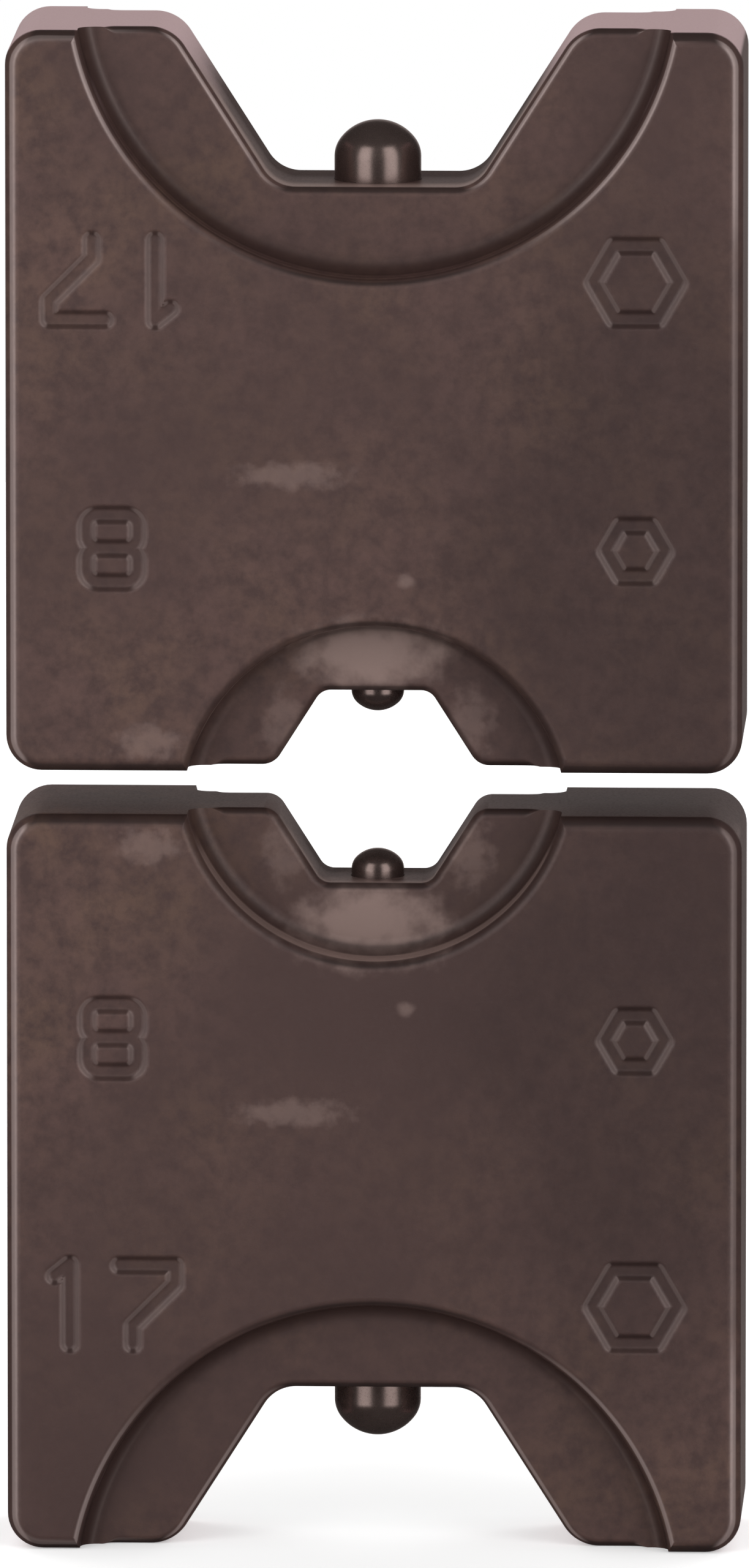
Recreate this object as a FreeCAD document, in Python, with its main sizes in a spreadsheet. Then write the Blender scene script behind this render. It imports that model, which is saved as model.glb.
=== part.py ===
# A pair of double-ended hexagonal crimping dies, each with two pressed-in indenter pins.
# Millimetres. X is the width, Y the thickness and +Z the pressing direction.
# The origin is the middle of the plane that the lower die's two feet stand on.

import FreeCAD, Part
import math
import os

import Sketcher
from FreeCAD import Placement, Rotation, Vector

# name, value, what it is
sizes = [
    ("die_width", 39.0, "width of a die, along X"),
    ("die_height", 39.5, "height of a die, from the large nest's end to the small nest's"),
    ("die_thickness", 12.0, "thickness over the raised faces, along Y"),
    ("corner_radius", 1.9, "the four outer corners, seen from the front"),
    ("outer_edge_round", 0.8, "rounding where the faces meet the sides and ends"),
    ("flank_angle", 57.5, "nest flank to the parting plane, in degrees: 2.5 of relief"),
    ("large_across_flats", 17.0, "large hexagon, closed"),
    ("large_floor_width", 10.6, "flat of the large nest, to its sharp corners"),
    ("large_root_radius", 2.0, "floor to flank"),
    ("large_mouth_radius", 2.2, "flank to end face"),
    ("large_end_land", 1.94, "flat of the raised face between the large recess and a corner"),
    ("large_arc_depth", 13.15, "end face to the deepest point of the large recess's arc"),
    ("small_across_flats", 8.0, "small hexagon, closed"),
    ("small_floor_width", 5.75, "flat of the small nest, to its sharp corners"),
    ("small_root_radius", 0.9, "floor to flank"),
    ("small_mouth_radius", 1.1, "flank to end face"),
    ("small_arc_radius", 10.2, "stepped recess round the small nest"),
    ("small_arc_depth", 7.8, "end face to the deepest point of its arc"),
    ("large_recess_depth", 2.0, "each face is cut back this far round the large nest"),
    ("small_recess_depth", 2.9, "and this far round the small one"),
    ("recess_root_chamfer", 0.8, "slope left at the foot of the recess wall"),
    ("working_edge_chamfer", 0.3, "broken edges of the nest rims and of the recess step"),
    ("large_pin_diameter", 4.6, "indenter of the large nest, and its bore"),
    ("large_pin_height", 3.15, "how far it stands out of the nest floor"),
    ("large_pin_crown", 1.95, "the domed part of that height"),
    ("large_pin_knuckle", 1.6, "radius between the dome and the side"),
    ("large_pin_shank", 9.0, "how deep it is pressed in"),
    ("small_pin_diameter", 2.8, "indenter of the small nest, and its bore"),
    ("small_pin_height", 1.45, "how far it stands out of the nest floor"),
    ("small_pin_crown", 1.1, "the domed part of that height"),
    ("small_pin_knuckle", 0.9, "radius between the dome and the side"),
    ("small_pin_shank", 6.0, "how deep it is pressed in"),
    ("pin_lead_chamfer", 0.4, "lead at the pressed end of each pin"),
    ("vent_diameter", 1.6, "hole that joins the two bores, for air and to drive a pin out"),
    ("die_gap", 2.3, "opening between the dies at rest"),
]
size = {name: value for name, value, note in sizes}
near = 0.01

doc = FreeCAD.newDocument("crimping_die_pair")
sheet = doc.addObject("Spreadsheet::Sheet", "sizes")
for row, (name, value, note) in enumerate(sizes, start=1):
    sheet.set("A%d" % row, name)
    sheet.set("B%d" % row, str(value))
    sheet.set("C%d" % row, note)
    sheet.setAlias("B%d" % row, name)
doc.recompute()


# Sketches

def origin_plane(body, role):
    return [feature for feature in body.Origin.OriginFeatures if feature.Role == role][0]


def new_sketch(body, name):
    # On the plate's middle plane: sketch x is X, sketch y is Z, and its normal is -Y.
    sketch = body.newObject("Sketcher::SketchObject", name)
    sketch.AttachmentSupport = [(origin_plane(body, "XZ_Plane"), "")]
    sketch.MapMode = "FlatFace"
    return sketch


def end_sketch(body, name, nest, on_face=False):
    # The sketch's origin is the middle of one end face, and its y points into the die.
    sketch = new_sketch(body, name)
    turn = 0 if nest == "large" else 180
    sketch.AttachmentOffset = Placement(Vector(), Rotation(Vector(0, 0, 1), turn))
    if nest == "small":
        sketch.setExpression("AttachmentOffset.Base.y", "sizes.die_height")
    if on_face:
        sketch.setExpression("AttachmentOffset.Base.z", "sizes.die_thickness / 2")
    return sketch


def draw_loop(sketch, points):
    count = len(points)
    for index in range(count):
        start, end = points[index], points[(index + 1) % count]
        sketch.addGeometry(Part.LineSegment(Vector(*start, 0), Vector(*end, 0)), False)
    for index in range(count):
        sketch.addConstraint(Sketcher.Constraint("Coincident", index, 2, (index + 1) % count, 1))


def dimension(sketch, name, kind, start, end, formula):
    first, last = sketch.getPoint(*start), sketch.getPoint(*end)
    value = last.x - first.x if kind == "DistanceX" else last.y - first.y
    index = sketch.addConstraint(Sketcher.Constraint(kind, *start, *end, value))
    sketch.renameConstraint(index, name)
    sketch.setExpression("Constraints." + name, formula)


def radius(sketch, name, curve, formula):
    value = sketch.Geometry[curve].Radius
    index = sketch.addConstraint(Sketcher.Constraint("Radius", curve, value))
    sketch.renameConstraint(index, name)
    sketch.setExpression("Constraints." + name, formula)


def mirrored(sketch, left, right):
    sketch.addConstraint(Sketcher.Constraint("Symmetric", *left, *right, -2))


centre = (-1, 1)
across, up = -1, -2


# Features

def dress_edges(body, kind, name, alias, wanted):
    # kind is Fillet or Chamfer.
    base = body.Tip
    names = ["Edge%d" % (i + 1) for i, edge in enumerate(base.Shape.Edges) if wanted(edge)]
    feature = body.newObject("PartDesign::" + kind, name)
    feature.Base = (base, names)
    feature.setExpression("Radius" if kind == "Fillet" else "Size", "sizes." + alias)
    doc.recompute()


def through_edge(edge, x, z):
    # True for the edges that run along Y at +-x and at height z.
    box, middle = edge.BoundBox, edge.CenterOfMass
    runs_along_y = box.XLength < near and box.ZLength < near
    return runs_along_y and abs(abs(middle.x) - x) < near and abs(middle.z - z) < near


def lies_at(edge, y):
    return edge.BoundBox.YLength < near and abs(abs(edge.CenterOfMass.y) - y) < near


def die_blank(body):
    half, height = size["die_width"] / 2, size["die_height"]
    sketch = new_sketch(body, "blank_outline")
    draw_loop(sketch, [(-half, 0), (half, 0), (half, height), (-half, height)])
    sketch.addConstraint(Sketcher.Constraint("PointOnObject", 0, 2, across))
    sketch.addConstraint(Sketcher.Constraint("Vertical", 1))
    dimension(sketch, "half_width", "DistanceX", centre, (0, 2), "sizes.die_width / 2")
    dimension(sketch, "height", "DistanceY", centre, (1, 2), "sizes.die_height")
    mirrored(sketch, (0, 1), (0, 2))
    mirrored(sketch, (2, 2), (1, 2))
    pad = body.newObject("PartDesign::Pad", "blank")
    pad.Profile = (sketch, [""])
    pad.SideType = "Symmetric"
    pad.setExpression("Length", "sizes.die_thickness")
    doc.recompute()

    face = size["die_thickness"] / 2
    dress_edges(body, "Fillet", "corners", "corner_radius",
                lambda edge: any(through_edge(edge, half, z) for z in (0, height)))
    dress_edges(body, "Fillet", "outer_edges", "outer_edge_round", lambda edge: lies_at(edge, face))


def recess_arc(nest):
    # Radius of a recess, as a number and as a formula. The large one follows from the land beside it.
    if nest == "small":
        return size["small_arc_radius"], "sizes.small_arc_radius"
    reach, depth = size["die_width"] / 2 - size["corner_radius"] - size["large_end_land"], size["large_arc_depth"]
    wide = "(sizes.die_width / 2 - sizes.corner_radius - sizes.large_end_land)"
    formula = "(%s * %s / sizes.large_arc_depth + sizes.large_arc_depth) / 2" % (wide, wide)
    return (reach ** 2 / depth + depth) / 2, formula


def nest_recess(body, nest):
    (arc_radius, formula), arc_depth = recess_arc(nest), size[nest + "_arc_depth"]
    sketch = end_sketch(body, nest + "_recess_arc", nest, on_face=True)
    middle = Vector(0, arc_depth - arc_radius, 0)
    sketch.addGeometry(Part.Circle(middle, Vector(0, 0, 1), arc_radius), False)
    sketch.addConstraint(Sketcher.Constraint("PointOnObject", 0, 3, up))
    dimension(sketch, "centre_beyond_end", "DistanceY", (0, 3), centre,
              "%s - sizes.%s_arc_depth" % (formula, nest))
    radius(sketch, "arc_radius", 0, formula)
    pocket = body.newObject("PartDesign::Pocket", nest + "_recess")
    pocket.Profile = (sketch, [""])
    pocket.setExpression("Length", "sizes.%s_recess_depth" % nest)
    doc.recompute()
    return pocket


def both_faces(body, features):
    pattern = body.newObject("PartDesign::Mirrored", "recesses_both_faces")
    pattern.Originals = features
    pattern.MirrorPlane = (origin_plane(body, "XZ_Plane"), [""])
    body.Tip = pattern
    doc.recompute()


def nest_points(nest):
    # Half widths at the mouth and at the floor, and the floor's depth.
    floor, depth = size[nest + "_floor_width"] / 2, size[nest + "_across_flats"] / 2
    slope = math.tan(math.radians(size["flank_angle"]))
    return floor + depth / slope, floor, depth


def nest_cut(body, nest):
    mouth, floor, depth = nest_points(nest)
    sketch = end_sketch(body, nest + "_nest_outline", nest)
    draw_loop(sketch, [(-mouth, 0), (mouth, 0), (floor, depth), (-floor, depth)])
    sketch.addConstraint(Sketcher.Constraint("PointOnObject", 0, 2, across))
    dimension(sketch, "half_mouth", "DistanceX", centre, (0, 2),
              "sizes.%s_floor_width / 2 + sizes.%s_across_flats / 2 / tan(sizes.flank_angle * 1 deg)"
              % (nest, nest))
    dimension(sketch, "half_floor", "DistanceX", centre, (1, 2), "sizes.%s_floor_width / 2" % nest)
    dimension(sketch, "depth", "DistanceY", centre, (1, 2), "sizes.%s_across_flats / 2" % nest)
    mirrored(sketch, (0, 1), (0, 2))
    mirrored(sketch, (2, 2), (1, 2))
    pocket = body.newObject("PartDesign::Pocket", nest + "_nest")
    pocket.Profile = (sketch, [""])
    pocket.Type = "ThroughAll"
    pocket.SideType = "Symmetric"
    doc.recompute()

    end, inward = (0, 1) if nest == "large" else (size["die_height"], -1)
    dress_edges(body, "Fillet", nest + "_roots", nest + "_root_radius",
                lambda edge: through_edge(edge, floor, end + inward * depth))
    dress_edges(body, "Fillet", nest + "_mouth", nest + "_mouth_radius",
                lambda edge: through_edge(edge, mouth, end))


def recess_edges(body):
    # The foot of each recess wall first, then the nest rims and the top of the wall.
    face = size["die_thickness"] / 2
    recesses = [(face - size[nest + "_recess_depth"], recess_arc(nest)[0]) for nest in ("large", "small")]

    def is_arc(edge, arc_radius):
        return isinstance(edge.Curve, Part.Circle) and abs(edge.Curve.Radius - arc_radius) < near

    def at_foot(edge):
        return any(lies_at(edge, floor) and is_arc(edge, arc) for floor, arc in recesses)

    def at_work(edge):
        on_rim = any(lies_at(edge, floor) and not is_arc(edge, arc - size["recess_root_chamfer"])
                     for floor, arc in recesses)
        return on_rim or (lies_at(edge, face) and any(is_arc(edge, arc) for floor, arc in recesses))

    dress_edges(body, "Chamfer", "recess_feet", "recess_root_chamfer", at_foot)
    dress_edges(body, "Chamfer", "working_edges", "working_edge_chamfer", at_work)


def pin_bores(body):
    # One stepped bore on the die's axis: a seat for each pin, and a vent between them.
    height = size["die_height"]
    large_seat = size["large_across_flats"] / 2 + size["large_pin_shank"]
    small_seat = height - size["small_across_flats"] / 2 - size["small_pin_shank"]
    large, small = size["large_pin_diameter"] / 2, size["small_pin_diameter"] / 2
    vent = size["vent_diameter"] / 2
    levels = [(size["large_across_flats"] / 2, large), (large_seat, large), (large_seat, vent),
              (small_seat, vent), (small_seat, small), (height - size["small_across_flats"] / 2, small)]
    profile = [(r, z) for z, r in levels]
    points = [(0, profile[0][1])] + profile + [(0, profile[-1][1])]
    sketch = new_sketch(body, "bore_profile")
    draw_loop(sketch, points)
    sketch.addConstraint(Sketcher.Constraint("PointOnObject", 0, 1, up))
    sketch.addConstraint(Sketcher.Constraint("PointOnObject", 7, 1, up))
    for line in (0, 2, 4, 6):
        sketch.addConstraint(Sketcher.Constraint("Horizontal", line))
    for line in (1, 3, 5):
        sketch.addConstraint(Sketcher.Constraint("Vertical", line))
    dimension(sketch, "large_radius", "DistanceX", centre, (1, 2), "sizes.large_pin_diameter / 2")
    dimension(sketch, "vent_radius", "DistanceX", centre, (3, 2), "sizes.vent_diameter / 2")
    dimension(sketch, "small_radius", "DistanceX", centre, (5, 2), "sizes.small_pin_diameter / 2")
    dimension(sketch, "large_floor", "DistanceY", centre, (1, 1), "sizes.large_across_flats / 2")
    dimension(sketch, "large_seat", "DistanceY", (1, 1), (1, 2), "sizes.large_pin_shank")
    dimension(sketch, "small_seat", "DistanceY", (5, 1), (5, 2), "sizes.small_pin_shank")
    dimension(sketch, "small_floor", "DistanceY", centre, (5, 2),
              "sizes.die_height - sizes.small_across_flats / 2")
    groove = body.newObject("PartDesign::Groove", "pin_bores")
    groove.Profile = (sketch, [""])
    groove.ReferenceAxis = (sketch, ["V_Axis"])
    groove.Angle = 360
    doc.recompute()


def make_die_body(label):
    body = doc.addObject("PartDesign::Body", label)
    body.Label = label
    die_blank(body)
    both_faces(body, [nest_recess(body, "large"), nest_recess(body, "small")])
    nest_cut(body, "large")
    nest_cut(body, "small")
    recess_edges(body)
    pin_bores(body)
    return body


def make_indenter(label, nest):
    # Turned pin, local origin in the nest floor's plane: the dome is above, the shank below.
    half, height = size[nest + "_pin_diameter"] / 2, size[nest + "_pin_height"]
    crown, knuckle = size[nest + "_pin_crown"], size[nest + "_pin_knuckle"]
    shank, lead = size[nest + "_pin_shank"], size["pin_lead_chamfer"]
    shoulder = height - crown
    reach = half - knuckle
    dome = (reach ** 2 + crown ** 2 - knuckle ** 2) / (2 * (crown - knuckle))
    meeting_angle = math.atan2(dome - crown, reach)

    body = doc.addObject("PartDesign::Body", label)
    body.Label = label
    sketch = new_sketch(body, "pin_profile")
    corners = [(0, height), (0, -shank), (half - lead, -shank), (half, lead - shank), (half, shoulder)]
    for start, end in zip(corners, corners[1:]):
        sketch.addGeometry(Part.LineSegment(Vector(*start, 0), Vector(*end, 0)), False)
    normal = Vector(0, 0, 1)
    knuckle_circle = Part.Circle(Vector(reach, shoulder, 0), normal, knuckle)
    sketch.addGeometry(Part.ArcOfCircle(knuckle_circle, 0, meeting_angle), False)
    dome_circle = Part.Circle(Vector(0, height - dome, 0), normal, dome)
    sketch.addGeometry(Part.ArcOfCircle(dome_circle, meeting_angle, math.pi / 2), False)
    for index in range(3):
        sketch.addConstraint(Sketcher.Constraint("Coincident", index, 2, index + 1, 1))
    sketch.addConstraint(Sketcher.Constraint("Coincident", 5, 2, 0, 1))
    sketch.addConstraint(Sketcher.Constraint("Tangent", 3, 2, 4, 1))
    sketch.addConstraint(Sketcher.Constraint("Tangent", 4, 2, 5, 1))
    sketch.addConstraint(Sketcher.Constraint("PointOnObject", 0, 1, up))
    sketch.addConstraint(Sketcher.Constraint("PointOnObject", 0, 2, up))
    sketch.addConstraint(Sketcher.Constraint("PointOnObject", 5, 3, up))
    sketch.addConstraint(Sketcher.Constraint("Horizontal", 1))
    sketch.addConstraint(Sketcher.Constraint("Vertical", 3))
    alias = "sizes." + nest + "_pin_"
    dimension(sketch, "half_diameter", "DistanceX", centre, (3, 1), alias + "diameter / 2")
    dimension(sketch, "height", "DistanceY", centre, (0, 1), alias + "height")
    dimension(sketch, "shank", "DistanceY", (0, 2), centre, alias + "shank")
    dimension(sketch, "crown", "DistanceY", (3, 2), (0, 1), alias + "crown")
    dimension(sketch, "lead_wide", "DistanceX", (1, 2), (3, 1), "sizes.pin_lead_chamfer")
    dimension(sketch, "lead_long", "DistanceY", (1, 2), (3, 1), "sizes.pin_lead_chamfer")
    radius(sketch, "knuckle", 4, alias + "knuckle")
    turned = body.newObject("PartDesign::Revolution", "turned")
    turned.Profile = (sketch, [""])
    turned.ReferenceAxis = (sketch, ["V_Axis"])
    turned.Angle = 360
    doc.recompute()
    return body


def place(body, upside_down, height=None):
    # Turned over about the thickness axis, so the front stays at the front.
    turn = 180 if upside_down else 0
    body.Placement = Placement(Vector(), Rotation(Vector(0, 1, 0), turn))
    if height:
        body.setExpression("Placement.Base.z", height)


# Pieces

large_floor = "sizes.large_across_flats / 2"
small_floor = "(sizes.die_height - sizes.small_across_flats / 2)"
pair_height = "(2 * sizes.die_height + sizes.die_gap)"

place(make_die_body("lower_die_body"), False)
place(make_indenter("lower_large_indenter", "large"), True, large_floor)
place(make_indenter("lower_small_indenter", "small"), False, small_floor)
place(make_die_body("upper_die_body"), True, pair_height)
place(make_indenter("upper_large_indenter", "large"), False, pair_height + " - " + large_floor)
place(make_indenter("upper_small_indenter", "small"), True, pair_height + " - " + small_floor)
doc.recompute()


# Check and write

for item in doc.Objects:
    if "Invalid" in item.State or "Error" in item.State:
        raise RuntimeError("%s failed: %s" % (item.Label, item.State))

os.makedirs("parts", exist_ok=True)
for piece in [item for item in doc.Objects if item.TypeId == "PartDesign::Body"]:
    shape = piece.Shape
    if shape.isNull() or not shape.isValid():
        raise RuntimeError("%s has no valid shape" % piece.Label)
    shape.exportStep("parts/%s.step" % piece.Label)
    box = shape.BoundBox
    print("%-22s %9.2f mm3  z %6.2f to %6.2f" % (piece.Label, shape.Volume, box.ZMin, box.ZMax))
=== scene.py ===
# A pair of hexagonal crimping dies in blackened steel, with pressed-in indenters, in a white studio.
# Shapes are made in millimetres, large nest down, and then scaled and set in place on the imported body.

import math

import bmesh
import bpy
from mathutils import Matrix, Vector


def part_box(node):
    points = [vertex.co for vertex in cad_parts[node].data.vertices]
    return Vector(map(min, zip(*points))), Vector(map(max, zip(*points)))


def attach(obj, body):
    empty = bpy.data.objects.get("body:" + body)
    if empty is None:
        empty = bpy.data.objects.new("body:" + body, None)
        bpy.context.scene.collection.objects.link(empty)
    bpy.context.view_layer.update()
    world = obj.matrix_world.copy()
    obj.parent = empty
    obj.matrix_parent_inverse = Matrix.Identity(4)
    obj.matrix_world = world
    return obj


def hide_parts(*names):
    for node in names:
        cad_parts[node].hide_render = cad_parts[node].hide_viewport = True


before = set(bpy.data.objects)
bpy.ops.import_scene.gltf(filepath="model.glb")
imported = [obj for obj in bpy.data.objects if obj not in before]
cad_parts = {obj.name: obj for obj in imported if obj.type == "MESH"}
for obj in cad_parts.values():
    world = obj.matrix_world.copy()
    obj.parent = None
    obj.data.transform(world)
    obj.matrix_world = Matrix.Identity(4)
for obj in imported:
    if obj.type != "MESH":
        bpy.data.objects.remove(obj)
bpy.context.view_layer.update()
mm = 0.001
closingGap = 0.005  # the closed dies meet without sharing a face

lowerLow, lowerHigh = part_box("lower_die_body")
upperLow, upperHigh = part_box("upper_die_body")
dieWidth, dieThickness, dieHeight = (lowerHigh - lowerLow) / mm
dieHeight -= closingGap
pairHeight = upperHigh.z / mm
partingHeight = (lowerHigh.z + upperLow.z) / 2
print("frame loaded, pair", round(pairHeight, 2), "mm high")


# Mesh helpers

def arc(centre, radius, start, end, steps):
    turns = [math.radians(start + (end - start) * step / steps) for step in range(steps + 1)]
    return [(centre[0] + radius * math.cos(a), centre[1] + radius * math.sin(a)) for a in turns]


def loft(name, loops):
    # Joins rings of points of equal count into one closed skin with a flat cap at each end.
    shape = bmesh.new()
    rings = [[shape.verts.new(point) for point in loop] for loop in loops]
    for low, high in zip(rings, rings[1:]):
        for index in range(len(low)):
            after = (index + 1) % len(low)
            shape.faces.new((low[index], low[after], high[after], high[index]))
    shape.faces.new(rings[0])
    shape.faces.new(rings[-1])
    bmesh.ops.recalc_face_normals(shape, faces=shape.faces)
    return meshObject(name, shape)


def lathe(name, profile, place, steps):
    # profile holds (radius, distance along the axis); place sends the Z axis where it belongs.
    loops = []
    for radius, along in profile:
        turns = [2 * math.pi * step / steps for step in range(steps)]
        loops.append([place @ Vector((radius * math.cos(a), radius * math.sin(a), along)) for a in turns])
    return loft(name, loops)


def meshObject(name, shape):
    mesh = bpy.data.meshes.new(name)
    shape.to_mesh(mesh)
    shape.free()
    piece = bpy.data.objects.new(name, mesh)
    bpy.context.scene.collection.objects.link(piece)
    return piece


def cutAway(piece, cutter):
    modifier = piece.modifiers.new("cut", "BOOLEAN")
    modifier.operation = "DIFFERENCE"
    modifier.solver = "EXACT"
    modifier.object = cutter
    graph = bpy.context.evaluated_depsgraph_get()
    mesh = bpy.data.meshes.new_from_object(piece.evaluated_get(graph))
    piece.modifiers.clear()
    piece.data = mesh
    bpy.data.objects.remove(cutter)


def closeHoles(shape):
    # A cutter that runs out along a face can leave a hair-thin opening.
    rims = [edge for edge in shape.edges if len(edge.link_faces) == 1]
    bmesh.ops.holes_fill(shape, edges=rims, sides=0)


def softShading(piece, angle):
    piece.data.shade_smooth()
    piece.data.set_sharp_from_angle(angle=math.radians(angle))
    weighted = piece.modifiers.new("face weighted normals", "WEIGHTED_NORMAL")
    weighted.keep_sharp = True


# Die body

dieBody = {
    "cornerRadius": 1.9,
    "edgeRound": 0.8,
    "recessCove": 0.9,
    "stepRound": 0.6,
    "rimRound": 0.5,
    "flankAngle": 57.5,
    "cornerSteps": 12,
    "edgeSteps": 8,
    "smallSteps": 6,
    "arcSteps": 240,
    "overlap": 0.002,  # how far a cutter passes a face that it would otherwise lie in
    "stand": 1.0,  # how far a cutter stands out of the die
    "rimFade": 1.0,  # the nest's rounding runs out over this length
    "rimStop": 0.2,  # and ends this far before the recess wall
    "boreGap": 0.02,
    "boreSteps": 72,
    "sharpAngle": 34,
}

nests = {
    "large": {
        "acrossFlats": 17.0,
        "floorWidth": 10.6,
        "rootRadius": 2.0,
        "mouthRadius": 2.2,
        "arcRadius": 15.9,
        "arcDepth": 13.15,
        "recessDepth": 2.0,
    },
    "small": {
        "acrossFlats": 8.0,
        "floorWidth": 5.75,
        "rootRadius": 0.9,
        "mouthRadius": 1.1,
        "arcRadius": 10.2,
        "arcDepth": 7.8,
        "recessDepth": 2.9,
    },
}


def blankLoop(inset, y):
    corner = dieBody["cornerRadius"]
    side, low, high = dieWidth / 2 - corner, corner, dieHeight - corner
    points = []
    for x, z, start in ((side, low, -90), (side, high, 0), (-side, high, 90), (-side, low, 180)):
        points += arc((x, z), corner - inset, start, start + 90, dieBody["cornerSteps"])
    return [Vector((x, y, z)) for x, z in points]


def dieBlank(name):
    edge, face = dieBody["edgeRound"], dieThickness / 2
    front = [(-face + edge + y, edge + x) for x, y in arc((0, 0), edge, 270, 180, dieBody["edgeSteps"])]
    levels = front + [(-y, inset) for y, inset in reversed(front)]
    return loft(name, [blankLoop(inset, y) for y, inset in levels])


def recessCutter(nest, sign):
    # Turned about an axis that runs through the plate's thickness, beyond the end face.
    face, depth, steps = dieThickness / 2, nest["recessDepth"], dieBody["smallSteps"]
    lip, cove, radius = dieBody["stepRound"], dieBody["recessCove"], nest["arcRadius"]
    top = face + dieBody["overlap"]
    profile = [(radius + lip, face + dieBody["stand"])]
    profile += arc((radius + lip, top - lip), lip, 90, 180, steps)
    profile += arc((radius - cove, face - depth + cove), cove, 0, -90, 2 * steps)
    raised = Matrix.Translation((0, 0, nest["arcDepth"] - radius))
    axis = raised @ Matrix.Rotation(sign * math.pi / 2, 4, "X")
    return lathe("recessCutter", profile, axis, dieBody["arcSteps"])


def nestHalf(nest):
    # Points from the middle of the floor to the recess wall: x, z, normal's angle, share of rounding.
    flank, depth, floor = dieBody["flankAngle"], nest["acrossFlats"] / 2, nest["floorWidth"] / 2
    mouth = floor + depth / math.tan(math.radians(flank))
    tangent = math.tan(math.radians(flank / 2))
    steps = dieBody["cornerSteps"]
    turns = [90 - flank * step / steps for step in range(steps + 1)]
    root, lead = nest["rootRadius"], nest["mouthRadius"]
    points = []
    for turn in turns:
        a = math.radians(turn)
        x, z = floor - root * tangent, depth - root
        points.append((x + root * math.cos(a), z + root * math.sin(a), turn, 1))
    for turn in reversed(turns):
        a = math.radians(turn)
        points.append((mouth + lead * (tangent - math.cos(a)), lead * (1 - math.sin(a)), turn, 1))
    flat = nest["arcRadius"] - dieBody["recessCove"]
    reach = math.sqrt(flat ** 2 - (nest["arcRadius"] - nest["arcDepth"]) ** 2) - dieBody["rimStop"]
    for step in range(steps + 1):
        along = step / steps
        fade = (1 + math.cos(math.pi * along)) / 2
        points.append((reach - dieBody["rimFade"] * (1 - along), 0, 90, fade))
    return points


def nestCutter(nest):
    rim, face = dieBody["rimRound"], dieThickness / 2 - nest["recessDepth"]
    stand, overlap = dieBody["stand"], dieBody["overlap"]
    steps = dieBody["smallSteps"]
    turns = [math.pi / 2 * step / steps for step in range(steps + 1)]
    quarter = [(math.sin(a), 1 - math.cos(a)) for a in turns]
    levels = [(face - rim + rim * out + overlap, rim * grow) for out, grow in quarter]
    levels.append((dieThickness / 2 + stand, rim))
    levels = [(-y, grow) for y, grow in reversed(levels)] + levels
    half = nestHalf(nest)
    loops = []
    for y, grow in levels:
        side = []
        for x, z, turn, share in half:
            a = math.radians(turn)
            side.append((x + grow * share * math.cos(a), z + grow * share * math.sin(a) - overlap))
        side += [(side[-1][0], -stand)]
        loops.append([Vector((x, y, z)) for x, z in side + [(-x, z) for x, z in reversed(side)]])
    return loft("nestCutter", loops)


def boreCutter():
    # Seats for the two pins on the die's own axis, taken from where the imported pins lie.
    gap = dieBody["boreGap"]
    largeLow, largeHigh = (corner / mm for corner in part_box("lower_large_indenter"))
    smallLow, smallHigh = (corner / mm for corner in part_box("lower_small_indenter"))
    largeRadius, smallRadius = largeHigh.x + gap, smallHigh.x + gap
    profile = [(largeRadius, largeLow.z), (largeRadius, largeHigh.z + gap),
               (smallRadius, smallLow.z - gap), (smallRadius, smallHigh.z)]
    return lathe("boreCutter", profile, Matrix.Identity(4), dieBody["boreSteps"])


# Marks: plain size numbers and the nest's outline, sunk into the front face

marks = {
    "inner": 9.9,  # the four marks share two columns and two rows
    "outer": 17.8,
    "rows": {"large": (10.5, 16.0), "small": (24.8, 30.3)},
    "cuts": 79,
    "depth": 0.26,
    "floorHalf": 0.2,
    "edgeHalf": 0.58,
    "facingFront": -0.99,  # a face of the front looks this far along Y or further
    "cutReach": 0.0002,  # points this near to a cut are taken as lying on it
    "windowReach": 0.02,  # how near to its place a mark's window has to be
    "digitShifts": {"one": -2.3, "seven": 1.85},
    "eight": {"raise": 0.9, "half": (1.35, 0.9), "corner": 0.65},
    "hexagons": {"large": 3.9, "small": 2.7},
}

strokes = {
    "one": [(-0.8, 1.5), (0.0, 2.15), (0.0, -2.15)],
    "seven": [(-1.5, 2.1), (1.45, 2.1), (1.45, 1.1), (-0.8, -1.15), (-0.8, -2.15)],
}


def segmentDistance(p, a, b):
    run = b - a
    along = max(0, min(1, (p - a).dot(run) / run.length_squared))
    return (p - a - run * along).length


def ringDistance(p, middle, half, corner):
    # Distance to the line of a box with rounded corners.
    qx = abs(p.x - middle[0]) - half[0] + corner
    qy = abs(p.y - middle[1]) - half[1] + corner
    outside = math.hypot(max(qx, 0), max(qy, 0))
    return abs(outside + min(max(qx, qy), 0) - corner)


def strokeSegments(name):
    shift = marks["digitShifts"][name]
    points = [Vector((x + shift, z)) for x, z in strokes[name]]
    return list(zip(points, points[1:]))


def hexagonSegments(acrossFlats):
    radius = acrossFlats / math.sqrt(3)
    turns = [math.radians(60 * step) for step in range(7)]
    corners = [Vector((radius * math.cos(a), radius * math.sin(a))) for a in turns]
    return list(zip(corners, corners[1:]))


def eightDistance(p):
    # Two rings, one above the other, that share a side.
    eight = marks["eight"]
    middles = [(0, side * eight["raise"]) for side in (-1, 1)]
    return min(ringDistance(p, middle, eight["half"], eight["corner"]) for middle in middles)


def lineDistance(segments):
    return lambda p: min(segmentDistance(p, a, b) for a, b in segments)


markShapes = {
    ("large", "number"): lineDistance(strokeSegments("one") + strokeSegments("seven")),
    ("small", "number"): eightDistance,
    ("large", "outline"): lineDistance(hexagonSegments(marks["hexagons"]["large"])),
    ("small", "outline"): lineDistance(hexagonSegments(marks["hexagons"]["small"])),
}


def sunk(distance):
    share = (distance - marks["floorHalf"]) / (marks["edgeHalf"] - marks["floorHalf"])
    share = max(0, min(1, share))
    return marks["depth"] * (1 - share * share * (3 - 2 * share))


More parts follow.
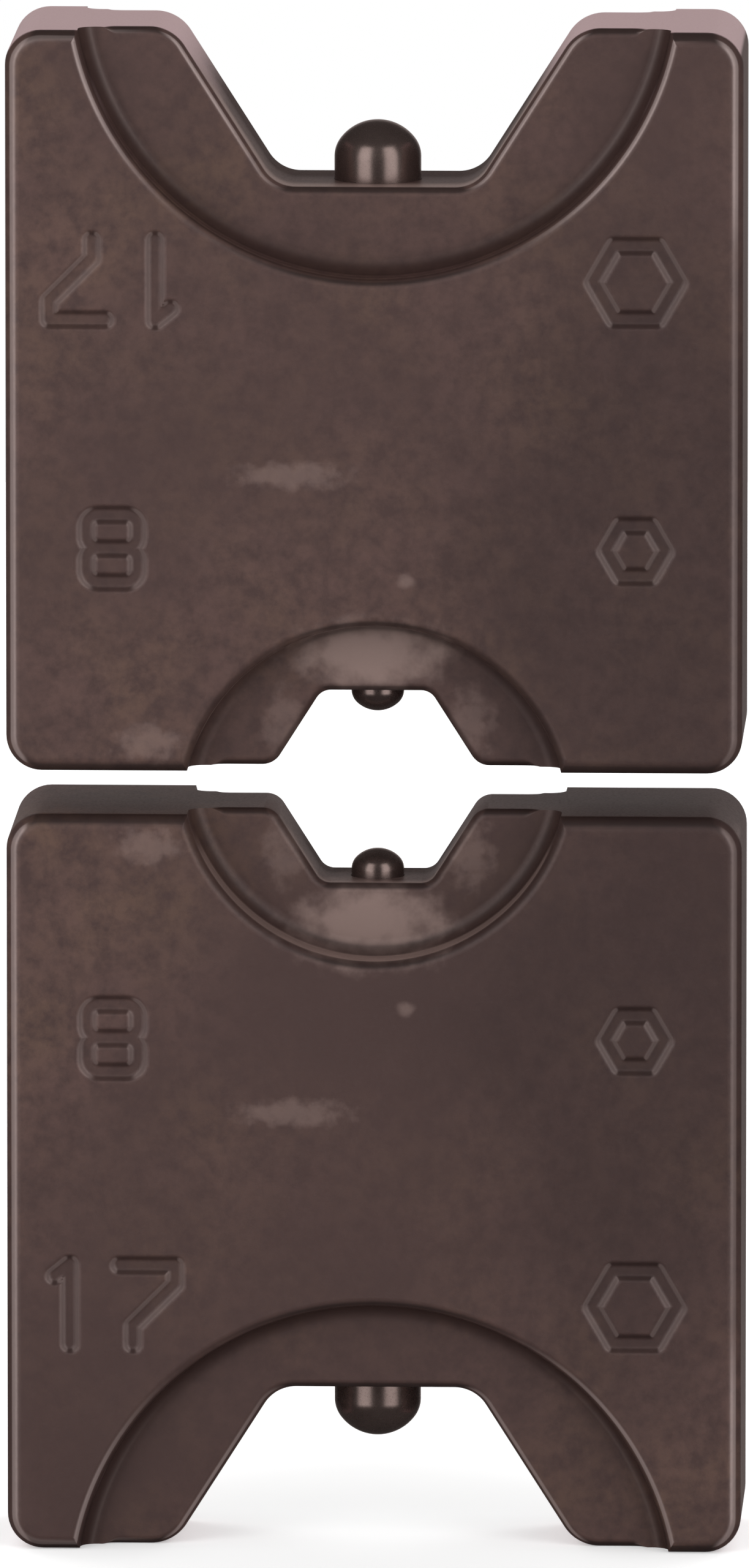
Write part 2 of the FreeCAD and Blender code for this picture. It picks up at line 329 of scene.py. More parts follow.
def engrave(piece, numberSide):
    shape = bmesh.new()
    shape.from_mesh(piece.data)
    closeHoles(shape)
    face = -dieThickness / 2
    near = dieBody["overlap"]

    def onFront(item):
        return abs(item.calc_center_median().y - face) < near and item.normal.y < marks["facingFront"]

    lines = [(Vector((side * x, 0, 0)), Vector((1, 0, 0))) for side in (-1, 1)
             for x in (marks["inner"], marks["outer"])]
    lines += [(Vector((0, 0, z)), Vector((0, 0, 1))) for row in marks["rows"].values() for z in row]
    for point, normal in lines:
        front = [item for item in shape.faces if onFront(item)]
        edges = {edge for item in front for edge in item.edges}
        verts = {vert for item in front for vert in item.verts}
        bmesh.ops.bisect_plane(shape, geom=front + list(edges | verts), plane_co=point,
                               plane_no=normal, dist=marks["cutReach"])

    middleX = (marks["inner"] + marks["outer"]) / 2
    for (row, kind), distance in markShapes.items():
        side = numberSide if kind == "number" else -numberSide
        low, high = marks["rows"][row]
        middle = Vector((side * middleX, face, (low + high) / 2))
        window = [item for item in shape.faces if onFront(item)
                  and (item.calc_center_median() - middle).length < marks["windowReach"]]
        bmesh.ops.subdivide_edges(shape, edges=window[0].edges[:], cuts=marks["cuts"], use_grid_fill=True)
        halfWide, halfTall = (marks["outer"] - marks["inner"]) / 2, (high - low) / 2
        for vert in shape.verts:
            across, tall = vert.co.x - middle.x, vert.co.z - middle.z
            if abs(vert.co.y - face) < near and abs(across) < halfWide and abs(tall) < halfTall:
                vert.co.y += sunk(distance(Vector((across, tall))))
    shape.to_mesh(piece.data)
    shape.free()


def buildDieBody(name, node, body, upsideDown):
    piece = dieBlank(name)
    for nest in nests.values():
        for cutter in (recessCutter(nest, 1), recessCutter(nest, -1), nestCutter(nest)):
            if nest is nests["small"]:
                turnOver(cutter, dieHeight)
            cutAway(piece, cutter)
    cutAway(piece, boreCutter())
    engrave(piece, 1 if upsideDown else -1)
    if upsideDown:
        turnOver(piece, pairHeight)
    softShading(piece, dieBody["sharpAngle"])
    finishPiece(piece, node, body, blackenedSteel)


def turnOver(piece, height):
    piece.data.transform(Matrix.Translation((0, 0, height)) @ Matrix.Rotation(math.pi, 4, "Y"))


def finishPiece(piece, node, body, material):
    piece.data.transform(Matrix.Scale(mm, 4))
    piece.data.materials.clear()
    piece.data.materials.append(material)
    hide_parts(node)
    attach(piece, body)


# Indenters

indenters = {
    "steps": 96,
    "arcSteps": 14,
    "leadChamfer": 0.4,
    "large": {"crown": 1.95, "knuckle": 1.6},
    "small": {"crown": 1.1, "knuckle": 0.9},
}


def buildIndenter(name, node, body, nest, tipUp):
    low, high = (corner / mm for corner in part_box(node))
    radius, length = (high.x - low.x) / 2, high.z - low.z
    crown, knuckle = indenters[nest]["crown"], indenters[nest]["knuckle"]
    lead, steps = indenters["leadChamfer"], indenters["arcSteps"]
    reach, shoulder = radius - knuckle, length - crown
    dome = (reach ** 2 + crown ** 2 - knuckle ** 2) / (2 * (crown - knuckle))
    meet = math.degrees(math.atan2(shoulder - (length - dome), reach))
    profile = [(radius - lead, 0), (radius, lead), (radius, shoulder)]
    profile += arc((reach, shoulder), knuckle, 0, meet, steps)[1:]
    profile += arc((0, length - dome), dome, meet, 90, steps)[1:-1]
    turned = Matrix.Identity(4) if tipUp else Matrix.Rotation(math.pi, 4, "Y")
    foot = low.z if tipUp else high.z
    piece = lathe(name, profile, Matrix.Translation((0, 0, foot)) @ turned, indenters["steps"])
    softShading(piece, dieBody["sharpAngle"])
    finishPiece(piece, node, body, polishedSteel)


# Shader helpers

def addNode(tree, kind, x, y, **settings):
    node = tree.nodes.new(kind)
    node.location = (x, y)
    for key, value in settings.items():
        setattr(node, key, value)
    return node


def feed(tree, source, target):
    tree.links.new(source, target)


def calculate(tree, operation, first, second=None, third=None, clamp=False):
    node = addNode(tree, "ShaderNodeMath", 0, 0, operation=operation, use_clamp=clamp)
    for socket, value in zip(node.inputs, (first, second, third)):
        if isinstance(value, (int, float)):
            socket.default_value = value
        elif value is not None:
            feed(tree, value, socket)
    return node.outputs[0]


def product(tree, *factors):
    total = factors[0]
    for factor in factors[1:]:
        total = calculate(tree, "MULTIPLY", total, factor)
    return total


def inverse(tree, mask):
    return calculate(tree, "SUBTRACT", 1.0, mask)


def ramp(tree, value, low, high, start=0.0, end=1.0):
    node = addNode(tree, "ShaderNodeMapRange", 0, 0, interpolation_type="SMOOTHSTEP")
    feed(tree, value, node.inputs["Value"])
    for label, number in (("From Min", low), ("From Max", high), ("To Min", start), ("To Max", end)):
        node.inputs[label].default_value = number
    return node.outputs["Result"]


def between(tree, value, low, high, soft):
    rise = ramp(tree, value, low, low + soft)
    return product(tree, rise, ramp(tree, value, high - soft, high, 1.0, 0.0))


def noise(tree, vector, scale, detail, roughness=0.5):
    node = addNode(tree, "ShaderNodeTexNoise", 0, 0)
    feed(tree, vector, node.inputs["Vector"])
    node.inputs["Scale"].default_value = scale
    node.inputs["Detail"].default_value = detail
    node.inputs["Roughness"].default_value = roughness
    return node.outputs["Fac"]


def blendColor(tree, share, first, second):
    node = addNode(tree, "ShaderNodeMix", 0, 0, data_type="RGBA")
    feed(tree, share, node.inputs["Factor"])
    colors = [socket for socket in node.inputs if socket.type == "RGBA"]
    for socket, value in zip(colors, (first, second)):
        if isinstance(value, tuple):
            socket.default_value = value
        else:
            feed(tree, value, socket)
    return [socket for socket in node.outputs if socket.type == "RGBA"][0]


def newGroup(name, inputs, outputs):
    group = bpy.data.node_groups.new(name, "ShaderNodeTree")
    for label, kind in inputs:
        group.interface.new_socket(label, in_out="INPUT", socket_type=kind)
    for label, kind in outputs:
        group.interface.new_socket(label, in_out="OUTPUT", socket_type=kind)
    start = addNode(group, "NodeGroupInput", -800, 0)
    end = addNode(group, "NodeGroupOutput", 800, 0)
    return group, start.outputs, end.inputs


def useGroup(tree, group, vector, **values):
    node = addNode(tree, "ShaderNodeGroup", -200, 0, node_tree=group)
    feed(tree, vector, node.inputs["Vector"])
    for label, value in values.items():
        node.inputs[label].default_value = value
    return node.outputs


def srgb(red, green, blue):
    def linear(value):
        value /= 255
        return value / 12.92 if value <= 0.04045 else ((value + 0.055) / 1.055) ** 2.4
    return (linear(red), linear(green), linear(blue), 1)


# Shared effects

grainShape = {
    "coarse": (0.35, 3),  # scale and detail
    "fine": (1.0, 4, 0.65),  # and roughness
    "coarseShare": 0.6,
    "speckleGain": 4.0,
    "speckleOffset": -1.9,
}


def makeGrain():
    # Fine blasted texture of a heat-treated part: a height and a speckle mask.
    group, given, made = newGroup(
        "blastedGrain",
        [("Vector", "NodeSocketVector"), ("Size", "NodeSocketFloat")],
        [("Height", "NodeSocketFloat"), ("Speckle", "NodeSocketFloat")])
    scaled = addNode(group, "ShaderNodeVectorMath", -500, 0, operation="DIVIDE")
    spread = addNode(group, "ShaderNodeCombineXYZ", -650, -150)
    for socket in spread.inputs:
        feed(group, given["Size"], socket)
    feed(group, given["Vector"], scaled.inputs[0])
    feed(group, spread.outputs[0], scaled.inputs[1])
    coarse = noise(group, scaled.outputs[0], *grainShape["coarse"])
    fine = noise(group, scaled.outputs[0], *grainShape["fine"])
    feed(group, calculate(group, "MULTIPLY_ADD", coarse, grainShape["coarseShare"], fine), made["Height"])
    feed(group, calculate(group, "MULTIPLY_ADD", fine, grainShape["speckleGain"],
                          grainShape["speckleOffset"], clamp=True), made["Speckle"])
    return group


patchShape = {
    "detail": 5,
    "swing": 3.0,  # how far the noise moves the border, in shares of the reach
    "solid": 0.35,
    "gone": 1.3,
}


def makePatch():
    # A rubbed place: soft ellipse round a centre, broken up at its border.
    group, given, made = newGroup(
        "rubbedPatch",
        [("Vector", "NodeSocketVector"), ("Centre", "NodeSocketVector"), ("Reach", "NodeSocketVector"),
         ("Breakup", "NodeSocketFloat"), ("Grain", "NodeSocketFloat")],
        [("Mask", "NodeSocketFloat")])
    away = addNode(group, "ShaderNodeVectorMath", -500, 0, operation="SUBTRACT")
    share = addNode(group, "ShaderNodeVectorMath", -350, 0, operation="DIVIDE")
    length = addNode(group, "ShaderNodeVectorMath", -200, 0, operation="LENGTH")
    feed(group, given["Vector"], away.inputs[0])
    feed(group, given["Centre"], away.inputs[1])
    feed(group, away.outputs[0], share.inputs[0])
    feed(group, given["Reach"], share.inputs[1])
    feed(group, share.outputs[0], length.inputs[0])
    ragged = addNode(group, "ShaderNodeTexNoise", -300, -250)
    feed(group, given["Vector"], ragged.inputs["Vector"])
    feed(group, given["Grain"], ragged.inputs["Scale"])
    ragged.inputs["Detail"].default_value = patchShape["detail"]
    centred = calculate(group, "SUBTRACT", ragged.outputs["Fac"], 0.5)
    swing = product(group, centred, patchShape["swing"], given["Breakup"])
    edge = calculate(group, "ADD", length.outputs["Value"], swing)
    feed(group, ramp(group, edge, patchShape["solid"], patchShape["gone"], 1.0, 0.0), made["Mask"])
    return group


facingLimits = {  # limits of a normal's parts: start and end of a rise or fall, or low, high and softness
    "endAlong": (0.3, 0.48),
    "endThrough": (0.12, 0.4, 1.0, 0.0),
    "rounding": (0.2, 0.985, 0.2),
    "outerRise": (0.15, 0.25),
    "outerFall": (0.82, 0.995, 1.0, 0.0),
    "inner": (0.7, 0.992, 0.08),
    "aside": (0.12, 0.35),
}


def makeFacing():
    # Which way a place on a die looks: out of an end or a flank, or part of the way round an edge.
    # Next to the wall a rounding shows the dim room; next to the face, where it looks aside, the lights.
    group, given, made = newGroup(
        "facing",
        [("Vector", "NodeSocketVector")],
        [("End", "NodeSocketFloat"), ("Rounding", "NodeSocketFloat"), ("Outer", "NodeSocketFloat"),
         ("Inner", "NodeSocketFloat"), ("Aside", "NodeSocketFloat")])
    parts = addNode(group, "ShaderNodeSeparateXYZ", -600, 0)
    feed(group, given["Vector"], parts.inputs[0])
    aside, through, along = [calculate(group, "ABSOLUTE", socket) for socket in parts.outputs]
    limits = facingLimits
    end = product(group, ramp(group, along, *limits["endAlong"]), ramp(group, through, *limits["endThrough"]))
    outer = product(group, ramp(group, through, *limits["outerRise"]),
                    ramp(group, through, *limits["outerFall"]))
    feed(group, end, made["End"])
    feed(group, outer, made["Outer"])
    feed(group, between(group, through, *limits["rounding"]), made["Rounding"])
    feed(group, between(group, through, *limits["inner"]), made["Inner"])
    feed(group, ramp(group, aside, *limits["aside"]), made["Aside"])
    return group


grainGroup = makeGrain()
patchGroup = makePatch()
facingGroup = makeFacing()


# Materials

def newMaterial(name):
    material = bpy.data.materials.new(name)
    material.use_nodes = True
    tree = material.node_tree
    shader = tree.nodes["Principled BSDF"]
    place = addNode(tree, "ShaderNodeTexCoord", -1600, 0)
    return material, tree, shader, place.outputs


def bump(tree, shader, height, distance, strength):
    node = addNode(tree, "ShaderNodeBump", -200, -400)
    node.inputs["Strength"].default_value = strength
    node.inputs["Distance"].default_value = distance
    feed(tree, height, node.inputs["Height"])
    feed(tree, node.outputs["Normal"], shader.inputs["Normal"])


def fromParting(tree, place):
    # Both dies wear alike and carry the same painted light and shade, so both are laid out by the distance
    # from the parting plane.
    parts = addNode(tree, "ShaderNodeSeparateXYZ", -1400, 0)
    feed(tree, place, parts.inputs[0])
    away = calculate(tree, "ABSOLUTE", calculate(tree, "SUBTRACT", parts.outputs["Z"], partingHeight))
    joined = addNode(tree, "ShaderNodeCombineXYZ", -1100, 0)
    feed(tree, parts.outputs["X"], joined.inputs["X"])
    feed(tree, parts.outputs["Y"], joined.inputs["Y"])
    feed(tree, away, joined.inputs["Z"])
    return joined.outputs[0]


blackened = {
    "brown": srgb(104, 78, 72),
    "olive": srgb(112, 86, 71),
    "dark": srgb(77, 57, 54),
    # painted shade: the tone that darkens the right of each die
    "shade": srgb(54, 38, 37),
    "rubbed": srgb(150, 127, 120),
    # painted highlight: the bright of lit roundings and mark slopes
    "edge": srgb(190, 172, 168),
    "bare": srgb(196, 166, 168),
    # painted shade: the dark laid into nests, recess feet, roundings and mark slopes
    "cove": srgb(40, 29, 27),
    # painted shade on the floor of the sunk marks
    "mark": srgb(46, 34, 32),
    "metallic": 0.3,
    "roughness": 0.42,
    "specular": 0.5,
    "grainSize": 0.16 * mm,
    "grainDepth": 0.012 * mm,
    "speckle": 0.12,  # the grain makes the steel rougher by up to this much
    "bumpStrength": 0.6,
    "bareReach": 5.0 * mm,  # bare end faces fade into the nest's flanks over this length
    "bareRoughness": 0.4,
    "wornShare": 0.85,  # how much of each tone the places below take
    "nestShadeShare": 0.7,
    "roundingShadeShare": 0.7,
    "lipHighlightShare": 0.38,
    "footShare": 0.8,
    "markShadeShare": 0.15,
    "slopeHighlightShare": 0.17,
    "slopeShadeShare": 0.3,
    "dullShare": 0.95,  # loss of gloss deep in the nests and along the foot of a recess wall
    "nestStart": 1.5 * mm,  # from a large end to the small one, a nest's flanks lie between these
    "nestStop": 0.2,
    "nestSoft": 2.5 * mm,
    "frontFade": (-3.2 * mm, -1.4 * mm),  # wear runs out between these depths
    "nestShadeFade": (-2.0 * mm, 1.4 * mm),  # and the painted shade deep in the nest sets in between these
    "windowSoft": 0.05 * mm,
    "markFloor": (0.02 * mm, 0.5 * mm, 0.12 * mm),  # low, high and softness of a mark's depth
    "lipRoughness": 0.3,
    "lipReach": 12.0 * mm,  # the recess step's rounding is burnished and carries a painted highlight only this far from the large end
    "lipFull": 0.4,  # and fully so for this share of it
    "lipLean": 0.15,  # and a little further on the right
    "footReach": 1.2 * mm,
    "footSteps": (-0.2 * mm, 0.05 * mm, 0.2 * mm),  # full, last and gone, from the recess wall
    "footLit": 0.25,  # the shade gives way to the lights near the large end
    "smallFoot": 0.2,  # and the small recess has less of it
    "smallStart": (26.0 * mm, 30.0 * mm),  # the small recess's roundings lie beyond this
    "smallRound": 0.5,  # they are shaded by this much where they look aside
    "tiltShade": (0.9, 0.1),  # other roundings: shade where they look up or down, and the least
    "sideBand": (18.2 * mm, 18.6 * mm),  # the roundings along the die's sides start here
    "sideFade": (-1.0 * mm, 1.0 * mm),
    "rightEdge": 0.4,  # the right side is lit by this share of the left
    "endBand": (0.8 * mm, 1.2 * mm),  # the roundings along the large end stop here
    "endLit": 0.45,
    "cornerFade": (-15.0 * mm, -11.0 * mm),  # and are lit on the left of this
}

blackenedClouds = [  # scale, detail, roughness, gain, offset, and the tone that shows where it is thin
    (160, 4, 0.5, 3.2, -1.3, "brown"),
    (45, 3, 0.5, 2.2, -0.75, "dark"),
    (1100, 5, 0.65, 3.4, -1.15, "dark"),
]

wearAndPaintedLightTones = [  # mask, share and tone, each laid over those before it: wear, then painted shade, painted highlights and painted reflections
    ("worn", "wornShare", "rubbed"),
    ("back", "nestShadeShare", "cove"),
    ("outer", "roundingShadeShare", "cove"),
    ("lip", "lipHighlightShare", "edge"),
    ("foot", "footShare", "cove"),
    ("mark", "markShadeShare", "mark"),
    ("bright", "slopeHighlightShare", "edge"),
    ("dim", "slopeShadeShare", "cove"),
]

halfGap = upperLow.z - partingHeight
paintedRightShade = [  # centre, reach, breakup, grain, strength: painted shade, the steel darker towards the right
    ((14.0, -6, 9.0), (11.0, 60, 22.0), 0.4, 120, 0.55),
]
blackenedPatches = [
    ((-0.3, 0, 6.1), (4.2, 40, 2.1), 0.4, 900, 0.8),  # bare metal over the small nest
    ((-4.9, -4, 2.2), (1.1, 3, 2.0), 0.7, 1300, 0.25),  # along its flanks
    ((5.1, -4, 2.4), (1.2, 3, 2.0), 0.7, 1300, 0.25),
    ((-4.3, -6, 15.9), (3.0, 1, 0.7), 0.6, 1500, 0.3),  # rub across the middle
    ((-11.9, -6, 1.6), (1.7, 1.5, 1.0), 0.7, 1500, 0.3),
    ((1.7, -6, 10.3), (0.5, 1, 0.4), 0.3, 1500, 0.35),
]


def patches(tree, place, wanted):
    total = 0
    for centre, reach, breakup, grainScale, strength in wanted:
        where = Vector(centre) * mm + Vector((0, 0, halfGap))
        patch = useGroup(tree, patchGroup, place, Centre=where, Reach=Vector(reach) * mm,
                         Breakup=breakup, Grain=float(grainScale))
        total = calculate(tree, "MULTIPLY_ADD", patch["Mask"], strength, total, clamp=True)
    return total


def markWindow(tree, aside, fromEnd):
    # The two columns of marks, seen from the front.
    rows = [row * mm for pair in marks["rows"].values() for row in pair]
    soft = blackened["windowSoft"]
    columns = between(tree, aside, marks["inner"] * mm, marks["outer"] * mm, soft)
    return product(tree, columns, between(tree, fromEnd, min(rows), max(rows), soft))


def footMask(tree, place, nest, endHeight, inward):
    # The shade at the foot of a recess wall, placed by its distance from the recess's axis.
    axis = endHeight + inward * (nest["arcDepth"] - nest["arcRadius"]) * mm
    flat = addNode(tree, "ShaderNodeVectorMath", -900, 0, operation="MULTIPLY")
    feed(tree, place, flat.inputs[0])
    flat.inputs[1].default_value = (1, 0, 1)
    away = addNode(tree, "ShaderNodeVectorMath", -700, 0, operation="DISTANCE")
    feed(tree, flat.outputs[0], away.inputs[0])
    away.inputs[1].default_value = (0, 0, axis)
    wall = nest["arcRadius"] * mm
    full, last, gone = (wall + step for step in blackened["footSteps"])
    grows = ramp(tree, away.outputs["Value"], wall - blackened["footReach"], full)
    return product(tree, grows, ramp(tree, away.outputs["Value"], last, gone, 1.0, 0.0))


def baseTone(tree, place, partingPlace):
    color = blackened["olive"]
    for scale, detail, roughness, gain, offset, tone in blackenedClouds:
        cloud = noise(tree, place, scale, detail, roughness)
        dense = calculate(tree, "MULTIPLY_ADD", cloud, gain, offset, clamp=True)
        color = blendColor(tree, dense, blackened[tone], color)
    # painted shade laid over the steel towards the right
    return blendColor(tree, patches(tree, partingPlace, paintedRightShade), color, blackened["shade"])


def wearAndPaintedLightMasks(tree, place, facing):
    # Where a die is bare or worn, and where light and shade are painted: painted highlights along its edges
    # and painted shade.
    largeEnd = halfGap + dieHeight * mm
    parts = addNode(tree, "ShaderNodeSeparateXYZ", -900, 200)
    feed(tree, place, parts.inputs[0])
    across, through, along = parts.outputs
    aside = calculate(tree, "ABSOLUTE", across)
    fromEnd = calculate(tree, "SUBTRACT", largeEnd, along)
    tilted = inverse(tree, facing["Aside"])
    masks = {}

    # Marks: painted shade on their floor, and on their slopes a painted highlight or painted shade by the way
    # they look
    window = markWindow(tree, aside, fromEnd)
    sunkBy = calculate(tree, "ADD", through, dieThickness / 2 * mm)
    masks["mark"] = product(tree, window, between(tree, sunkBy, *blackened["markFloor"]))
    slope = product(tree, facing["Rounding"], window)
    masks["bright"] = product(tree, slope, facing["Aside"])
    masks["dim"] = product(tree, slope, tilted)

    # Painted shade at the foot of the recess walls
    lipEnd = calculate(tree, "MULTIPLY_ADD", across, -blackened["lipLean"], fromEnd)
    reach = blackened["lipReach"]
    nearEnd = ramp(tree, lipEnd, reach * blackened["lipFull"], reach, 1.0, 0.0)
    smallFoot = product(tree, footMask(tree, place, nests["small"], halfGap, 1), blackened["smallFoot"])
    foot = calculate(tree, "MAXIMUM", footMask(tree, place, nests["large"], largeEnd, -1), smallFoot)
    unlit = calculate(tree, "MULTIPLY_ADD", nearEnd, -blackened["footLit"], 1.0)
    masks["foot"] = product(tree, foot, unlit, inverse(tree, facing["End"]))
    clear = product(tree, inverse(tree, foot), inverse(tree, window))

    # End faces and the nests' flanks: bare and worn, with painted shade deep in the nests
    bareFade = ramp(tree, fromEnd, 0.0, blackened["bareReach"], 1.0, 0.0)
    masks["bare"] = product(tree, facing["End"], bareFade)
    nestEnd = (dieHeight - blackened["nestStop"]) * mm
    span = between(tree, fromEnd, blackened["nestStart"], nestEnd, blackened["nestSoft"])
    inNest = product(tree, facing["End"], span)
    masks["back"] = product(tree, inNest, ramp(tree, through, *blackened["nestShadeFade"]))
    masks["worn"] = product(tree, inNest, clear, ramp(tree, through, *blackened["frontFade"], 1.0, 0.0))

    # Roundings: painted highlights where they look towards the lights, painted shade and painted reflection
    # of the dim room elsewhere
    atSide = ramp(tree, aside, *blackened["sideBand"])
    sideLit = product(tree, atSide, ramp(tree, across, *blackened["sideFade"], 1.0, blackened["rightEdge"]))
    atEnd = product(tree, ramp(tree, fromEnd, *blackened["endBand"], blackened["endLit"], 0.0),
                    ramp(tree, across, *blackened["cornerFade"], 1.0, 0.0))
    lit = product(tree, facing["Aside"], calculate(tree, "MAXIMUM", nearEnd, sideLit))
    # painted highlight on roundings that look towards the lights, where they are also burnished
    masks["lip"] = product(tree, facing["Inner"], calculate(tree, "MAXIMUM", lit, atEnd), clear)
    nearSmall = product(tree, ramp(tree, fromEnd, *blackened["smallStart"]), inverse(tree, atSide),
                        blackened["smallRound"])
    shaded = calculate(tree, "MULTIPLY_ADD", tilted, *blackened["tiltShade"])
    # painted shade on the roundings, standing for the dim room that they mirror
    masks["outer"] = product(tree, facing["Outer"], clear, calculate(tree, "MAXIMUM", shaded, nearSmall))
    return masks


def makeBlackenedSteel():
    material, tree, shader, given = newMaterial("blackenedSteel")
    place = given["Object"]
    partingPlace = fromParting(tree, place)
    masks = wearAndPaintedLightMasks(tree, partingPlace, useGroup(tree, facingGroup, given["Normal"]))
    color = baseTone(tree, place, partingPlace)
    color = blendColor(tree, patches(tree, partingPlace, blackenedPatches), color, blackened["rubbed"])
    color = blendColor(tree, masks["bare"], color, blackened["bare"])
    # wear first, then painted shade, painted highlights and painted reflections of the dim room
    for mask, share, tone in wearAndPaintedLightTones:
        color = blendColor(tree, product(tree, masks[mask], blackened[share]), color, blackened[tone])
    feed(tree, color, shader.inputs["Base Color"])

    dull = calculate(tree, "MAXIMUM", masks["back"], masks["foot"])
    dull = calculate(tree, "MULTIPLY_ADD", dull, -blackened["dullShare"], 1.0)
    for label, socket in (("metallic", "Metallic"), ("specular", "Specular IOR Level")):
        feed(tree, product(tree, dull, blackened[label]), shader.inputs[socket])
    grain = useGroup(tree, grainGroup, place, Size=blackened["grainSize"])
    rough = calculate(tree, "MULTIPLY_ADD", grain["Speckle"], blackened["speckle"], blackened["roughness"])
    for mask, level in (("lip", "lipRoughness"), ("bare", "bareRoughness")):
        drop = blackened["roughness"] - blackened[level]
        rough = calculate(tree, "SUBTRACT", rough, product(tree, masks[mask], drop))
    feed(tree, rough, shader.inputs["Roughness"])
    bump(tree, shader, grain["Height"], blackened["grainDepth"], blackened["bumpStrength"])
    return material


polished = {
    "color": srgb(134, 117, 112),
    "shade": srgb(110, 94, 90),
    "metallic": 0.9,
    "roughness": 0.25,
    "speckle": 0.06,
    "bumpStrength": 0.5,
    "grainSize": 0.12 * mm,
    "grainDepth": 0.0006 * mm,
    "cloud": (500, 3),  # scale and detail
    "cloudGain": 2.0,
    "cloudOffset": -0.5,
}


def makePolishedSteel():
    material, tree, shader, given = newMaterial("polishedSteel")
    place = given["Object"]
    cloud = noise(tree, place, *polished["cloud"])
    dense = calculate(tree, "MULTIPLY_ADD", cloud, polished["cloudGain"], polished["cloudOffset"], clamp=True)
    feed(tree, blendColor(tree, dense, polished["shade"], polished["color"]), shader.inputs["Base Color"])
    shader.inputs["Metallic"].default_value = polished["metallic"]
    grain = useGroup(tree, grainGroup, place, Size=polished["grainSize"])
    rough = calculate(tree, "MULTIPLY_ADD", grain["Speckle"], polished["speckle"], polished["roughness"])
    feed(tree, rough, shader.inputs["Roughness"])
    bump(tree, shader, grain["Height"], polished["grainDepth"], polished["bumpStrength"])
    return material


blackenedSteel = makeBlackenedSteel()
polishedSteel = makePolishedSteel()
print("materials made")

buildDieBody("lowerDieBody", "lower_die_body", "lower_die", False)
buildDieBody("upperDieBody", "upper_die_body", "upper_die", True)
print("die bodies cut and marked")

buildIndenter("lowerLargeIndenter", "lower_large_indenter", "lower_die", "large", False)
buildIndenter("lowerSmallIndenter", "lower_small_indenter", "lower_die", "small", True)
buildIndenter("upperLargeIndenter", "upper_large_indenter", "upper_die", "large", True)
buildIndenter("upperSmallIndenter", "upper_small_indenter", "upper_die", "small", False)
print("indenters turned")


# Studio

studio = {
    "floorRadius": 0.42,
    "floorSteps": 96,
    "floorWhite": 0.9,
    "floorLift": 0.32,  # added for the camera alone, so that the lit floor reads as white
    "diffuseLevel": 0.75,
    "glossLevel": 0.06,
    "glossBehind": 0.44,
    "behindFade": (0.86, 0.98),  # the white behind the dies grows between these parts of a direction
    "glossTint": (1.0, 0.88, 0.85, 1.0),
    "boxRadiance": 1.75,
    "boxAngle": 36,
    "boxTurn": 2.2,  # the boxes stand evenly about the camera
    "boxDistance": 1.0,
    "boxWidth": 0.62,
    "boxHeight": 1.3,
    "boxRaise": 0.35,
}


def makeFloor():
    shape = bmesh.new()
    bmesh.ops.create_circle(shape, cap_ends=True, segments=studio["floorSteps"],
                            radius=studio["floorRadius"])
    floor = meshObject("floor", shape)
    material = bpy.data.materials.new("paleFloor")
    material.use_nodes = True
    tree = material.node_tree
    tree.nodes.clear()
    matt = addNode(tree, "ShaderNodeBsdfDiffuse", -300, 0)
    matt.inputs["Color"].default_value = (studio["floorWhite"],) * 3 + (1,)
    lift = addNode(tree, "ShaderNodeEmission", -300, -200)
    seen = addNode(tree, "ShaderNodeLightPath", -600, -200)
    feed(tree, calculate(tree, "MULTIPLY", seen.outputs["Is Camera Ray"], studio["floorLift"]),
         lift.inputs["Strength"])
    both = addNode(tree, "ShaderNodeAddShader", 0, 0)
    feed(tree, matt.outputs[0], both.inputs[0])
    feed(tree, lift.outputs[0], both.inputs[1])
    out = addNode(tree, "ShaderNodeOutputMaterial", 200, 0)
    feed(tree, both.outputs[0], out.inputs["Surface"])
    floor.data.materials.append(material)
    floor.visible_glossy = False  # the steel mirrors the boxes and a dim room, above and below


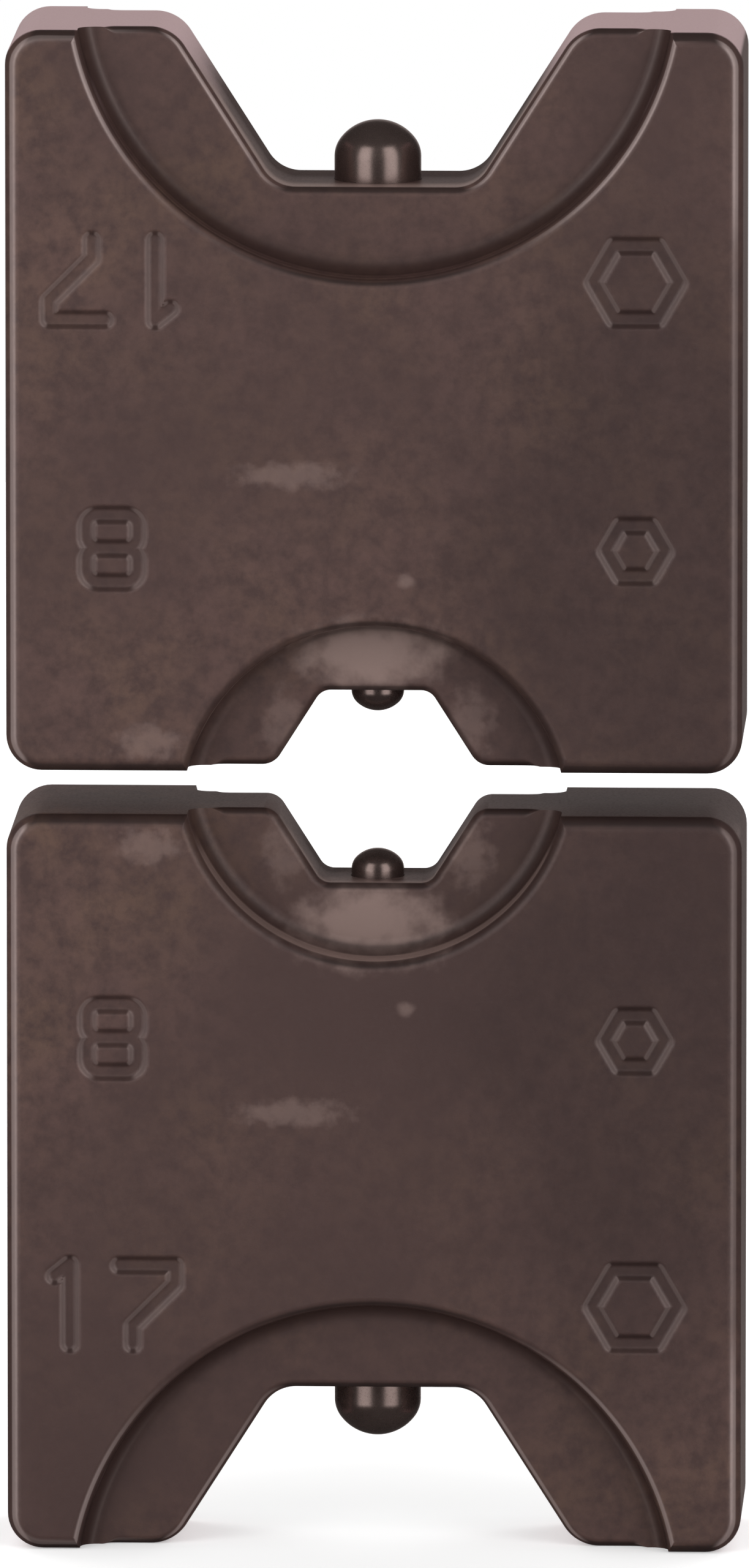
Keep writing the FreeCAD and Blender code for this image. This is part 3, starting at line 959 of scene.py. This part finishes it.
def makeWorld():
    # White for the camera; steel sees white behind the dies and a dim room elsewhere.
    world = bpy.data.worlds.new("studioWorld")
    bpy.context.scene.world = world
    world.use_nodes = True
    tree = world.node_tree
    tree.nodes.clear()
    ray = addNode(tree, "ShaderNodeLightPath", -800, 0)
    direction = addNode(tree, "ShaderNodeTexCoord", -1000, -300)
    parts = addNode(tree, "ShaderNodeSeparateXYZ", -800, -300)
    feed(tree, direction.outputs["Generated"], parts.inputs[0])
    behind = ramp(tree, parts.outputs["Y"], *studio["behindFade"], studio["glossLevel"],
                  studio["glossBehind"])
    glossy = product(tree, ray.outputs["Is Glossy Ray"], behind)
    other = product(tree, inverse(tree, ray.outputs["Is Glossy Ray"]), studio["diffuseLevel"])
    level = calculate(tree, "MAXIMUM", ray.outputs["Is Camera Ray"], calculate(tree, "ADD", glossy, other))
    back = addNode(tree, "ShaderNodeBackground", 0, 0)
    tint = blendColor(tree, ray.outputs["Is Glossy Ray"], (1.0, 1.0, 1.0, 1.0), studio["glossTint"])
    feed(tree, tint, back.inputs["Color"])
    feed(tree, level, back.inputs["Strength"])
    out = addNode(tree, "ShaderNodeOutputWorld", 200, 0)
    feed(tree, back.outputs[0], out.inputs["Surface"])


def makeSoftbox(name, angle, mirrored):
    light = bpy.data.lights.new(name, "AREA")
    light.shape = "RECTANGLE"
    light.size, light.size_y = studio["boxWidth"], studio["boxHeight"]
    light.energy = studio["boxRadiance"] * math.pi * light.size * light.size_y
    box = bpy.data.objects.new(name, light)
    bpy.context.scene.collection.objects.link(box)
    a = math.radians(angle)
    out = Vector((math.sin(a), -math.cos(a), 0))
    middle = Vector((0, 0, partingHeight + studio["boxRaise"]))
    box.location = middle + out * studio["boxDistance"]
    box.rotation_euler = out.to_track_quat("Z", "Y").to_euler()
    box.visible_glossy = mirrored


makeFloor()
makeWorld()
makeSoftbox("rightSoftbox", studio["boxTurn"] + studio["boxAngle"], True)
makeSoftbox("leftSoftbox", studio["boxTurn"] - studio["boxAngle"], True)
makeSoftbox("rearRightSoftbox", 180 + studio["boxTurn"] - studio["boxAngle"], False)
makeSoftbox("rearLeftSoftbox", 180 + studio["boxTurn"] + studio["boxAngle"], False)
print("studio set")


# Camera

view = {
    "lens": 600,
    "sensor": 36,
    "farClip": 10,
    "distance": 1.389,
    "azimuth": 2.2,
    "elevation": 8.35,
    "aimX": -0.18 * mm,
    "aimZ": -0.27 * mm,
}


def makeCamera():
    data = bpy.data.cameras.new("camera")
    data.lens = view["lens"]
    data.sensor_width = view["sensor"]
    data.clip_end = view["farClip"]
    camera = bpy.data.objects.new("camera", data)
    bpy.context.scene.collection.objects.link(camera)
    a, e = math.radians(view["azimuth"]), math.radians(view["elevation"])
    back = Vector((math.sin(a) * math.cos(e), -math.cos(a) * math.cos(e), math.sin(e)))
    aim = Vector((view["aimX"], 0, partingHeight + view["aimZ"]))
    camera.location = aim + back * view["distance"]
    camera.rotation_euler = back.to_track_quat("Z", "Y").to_euler()
    bpy.context.scene.camera = camera


makeCamera()
bpy.context.scene.view_settings.view_transform = "Standard"
print("camera set")
